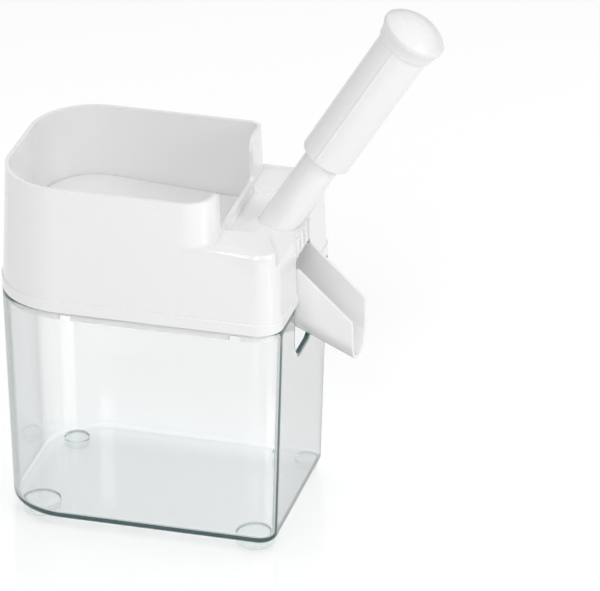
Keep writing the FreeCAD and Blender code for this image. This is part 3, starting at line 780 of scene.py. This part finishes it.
# Spring: a circle carried along a helix whose rise per turn eases from closed coils to open ones
# and back
def addSpring(size):
    turns, wire, deadPitch, sides = size["turns"], size["wire"], size["deadPitch"], size["sides"]
    opens = size["deadTurns"]
    closes = turns - opens - 1
    turn = np.linspace(0, turns, turns * size["perTurn"] + 1)
    height = size["high"] - size["low"] - 2 * wire
    openPitch = deadPitch + (height - deadPitch * turns) / (closes - opens)

    def eased(value):  # what a smooth step from nought to one adds up to
        inside = np.clip(value, 0, 1)
        return np.where(value >= 1, value - 0.5, inside ** 3 - inside ** 4 / 2)

    rise = eased(turn - opens) - eased(turn - closes)
    z = size["low"] + wire + deadPitch * turn + (openPitch - deadPitch) * rise
    angle = fullTurn * turn
    path = np.stack([size["radius"] * np.cos(angle), size["radius"] * np.sin(angle), z], axis=1)
    along = np.gradient(path, axis=0)
    along /= np.linalg.norm(along, axis=1)[:, None]
    outward = np.stack([np.cos(angle), np.sin(angle), np.zeros_like(angle)], axis=1)
    across = np.cross(along, outward)
    aroundWire = np.linspace(0, fullTurn, sides, endpoint=False)[None, :, None]
    ring = np.cos(aroundWire) * outward[:, None] + np.sin(aroundWire) * across[:, None]
    startCap = np.repeat(path[:1, None], sides, 1)
    endCap = np.repeat(path[-1:, None], sides, 1)
    skin = np.concatenate([startCap, path[:, None] + wire * ring, endCap])
    leaning = np.array([(plungerAxis[2], 0.0, -plungerAxis[0]), (0.0, 1.0, 0.0), plungerAxis])
    points = skin @ leaning * mm + np.array(plungerOrigin)
    mesh = gridMesh("returnSpring", points, closeColumns=False, closeRows=True)
    piece = putPiece("returnSpring", mesh, "return_spring")
    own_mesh(piece)


addSpring(springSize)
print("stage: plunger and spring")

# Softened copies of moulded pieces: each one's width of rounded edge, as far as short edges allow.
# Faces that turn less than flatAngle become one, and edges that turn more than edgeAngle are round
softEdges = {
    "widths": {
        "housing": 0.45,
        "chute": 0.45,
        "guide_tube": 0.3,
        "feed_tray": 0.3,
        "seat_holder": 0.3,
    },
    "merge": 2e-6,
    "flatAngle": 0.6,
    "edgeAngle": 38,
    "segments": 3,
}


def addSoftCopy(name, width, soft):
    mesh = frame["nodes"][name].data.copy()
    shape = bmesh.new()
    shape.from_mesh(mesh)
    bmesh.ops.remove_doubles(shape, verts=shape.verts, dist=soft["merge"])
    flat = math.radians(soft["flatAngle"])
    bmesh.ops.dissolve_limit(shape, angle_limit=flat, verts=shape.verts, edges=shape.edges)
    shape.to_mesh(mesh)
    shape.free()
    piece = putPiece(name + "Shell", mesh, name, sharp=meshCare["sharpSoft"])
    bevel = piece.modifiers.new("softEdge", "BEVEL")
    bevel.width = width * mm
    bevel.segments = soft["segments"]
    bevel.limit_method = "ANGLE"
    bevel.angle_limit = math.radians(soft["edgeAngle"])
    bevel.harden_normals = True


for softName, softWidth in softEdges["widths"].items():
    addSoftCopy(softName, softWidth, softEdges)
print("stage: moulded shells")

# Lengths in metres and power in watts
studio = {
    "floorTone": (0.93, 0.93, 0.93, 1),
    "floorSize": 6.0,
    "floorRoughness": 0.08,
    "floorGlow": 0.22,
    "worldLight": 0.55,
    # painted dark line at clear edges: its tone, its strongest share and the mirrorings it takes to
    # reach it
    "paintedEdgeTone": (0.03, 0.11, 0.12, 1),
    "paintedEdgeShare": 0.95,
    "paintedEdgeDepth": 3.0,
    "skyHeights": (0.0, 0.5),
    "skyLevels": (0.3, 1.0),
    "aim": (0.0, 0.0, 0.1),
    "lamps": {
        "keyLight": {"place": (0.0, -1.75, 1.3), "size": 0.9, "power": 11.5},
        "topLight": {"place": (0.1, 0.2, 1.6), "size": 1.6, "power": 3.8},
        "sideLight": {"place": (1.6, -0.5, 0.8), "size": 0.8, "power": 9},
    },
}


# One where a ray comes from the camera, a mirror or clear plastic, else nought
def addSeen(tree):
    path = tree.nodes.new("ShaderNodeLightPath")
    seen = path.outputs["Is Camera Ray"]
    for name in ("Is Transmission Ray", "Is Glossy Ray"):
        seen = mathNode(tree, "MAXIMUM", seen, path.outputs[name])
    return seen


# White, but painted tealer with each mirroring inside a clear wall: painted shade that gives clear
# edges their dark line, in place of the dark sides of a studio and the long way through the plastic
def addPaintedEdgeShade(tree, studio):
    path = tree.nodes.new("ShaderNodeLightPath")
    paintedEdgeRamp = node(tree, "ShaderNodeMapRange", interpolation_type="SMOOTHSTEP")
    paintedEdgeRamp.inputs["From Max"].default_value = studio["paintedEdgeDepth"]
    paintedEdgeRamp.inputs["To Max"].default_value = studio["paintedEdgeShare"]
    tree.links.new(path.outputs["Glossy Depth"], paintedEdgeRamp.inputs["Value"])
    inside = mathNode(tree, "MINIMUM", path.outputs["Transmission Depth"], 1.0)
    share = mathNode(tree, "MULTIPLY", paintedEdgeRamp.outputs["Result"], inside)
    return mixColors(tree, share, (1, 1, 1, 1), studio["paintedEdgeTone"])


def addFloor(studio):
    size = studio["floorSize"]
    mesh = bpy.data.meshes.new("studioFloor")
    corners = [(-size, -size, 0), (size, -size, 0), (size, size, 0), (-size, size, 0)]
    mesh.from_pydata(corners, [], [(0, 1, 2, 3)])
    floor = bpy.data.objects.new("studioFloor", mesh)
    bpy.context.scene.collection.objects.link(floor)
    material = bpy.data.materials.new("studioFloor")
    material.use_nodes = True
    tree = material.node_tree
    shader = tree.nodes["Principled BSDF"]
    shader.inputs["Roughness"].default_value = studio["floorRoughness"]
    tint = addPaintedEdgeShade(tree, studio)
    # the floor's colour and glow carry the painted edge shade
    tone = mixColors(tree, 1.0, studio["floorTone"], tint, blend="MULTIPLY")
    tree.links.new(tone, shader.inputs["Base Color"])
    tree.links.new(tint, shader.inputs["Emission Color"])
    glow = mathNode(tree, "MULTIPLY", addSeen(tree), studio["floorGlow"])
    tree.links.new(glow, shader.inputs["Emission Strength"])
    mesh.materials.append(material)


# World: white to the camera, an even grey light on surfaces, and for mirrors and clear walls a
# studio that is bright above and darker near the level of the floor
def addWorld(studio):
    world = bpy.data.worlds.new("studioWorld")
    bpy.context.scene.world = world
    world.use_nodes = True
    tree = world.node_tree
    tree.nodes.clear()
    output = tree.nodes.new("ShaderNodeOutputWorld")
    path = tree.nodes.new("ShaderNodeLightPath")
    where = tree.nodes.new("ShaderNodeTexCoord")
    parts = tree.nodes.new("ShaderNodeSeparateXYZ")
    tree.links.new(where.outputs["Generated"], parts.inputs[0])
    sky = node(tree, "ShaderNodeMapRange", interpolation_type="SMOOTHSTEP")
    for end, height, level in zip(("Min", "Max"), studio["skyHeights"], studio["skyLevels"]):
        sky.inputs["From " + end].default_value = height
        sky.inputs["To " + end].default_value = level
    tree.links.new(parts.outputs["Z"], sky.inputs["Value"])
    mirrored = node(tree, "ShaderNodeMix", data_type="FLOAT")
    feed(tree, mirrored.inputs[0], addSeen(tree))
    feed(tree, mirrored.inputs[2], studio["worldLight"])
    feed(tree, mirrored.inputs[3], sky.outputs["Result"])
    strength = mathNode(tree, "MAXIMUM", mirrored.outputs[0], path.outputs["Is Camera Ray"])
    light = tree.nodes.new("ShaderNodeBackground")
    # the world's colour carries the painted edge shade too
    tree.links.new(addPaintedEdgeShade(tree, studio), light.inputs["Color"])
    tree.links.new(strength, light.inputs["Strength"])
    tree.links.new(light.outputs[0], output.inputs["Surface"])


def addLamp(name, lamp, aim):
    data = bpy.data.lights.new(name, "AREA")
    data.shape = "RECTANGLE"
    data.size = data.size_y = lamp["size"]
    data.energy = lamp["power"]
    light = bpy.data.objects.new(name, data)
    bpy.context.scene.collection.objects.link(light)
    light.location = lamp["place"]
    light.rotation_mode = "QUATERNION"
    light.rotation_quaternion = (Vector(aim) - Vector(lamp["place"])).to_track_quat("-Z", "Y")


addFloor(studio)
addWorld(studio)
for lampName, lamp in studio["lamps"].items():
    addLamp(lampName, lamp, studio["aim"])
bpy.context.scene.view_settings.view_transform = "Standard"
print("stage: studio")
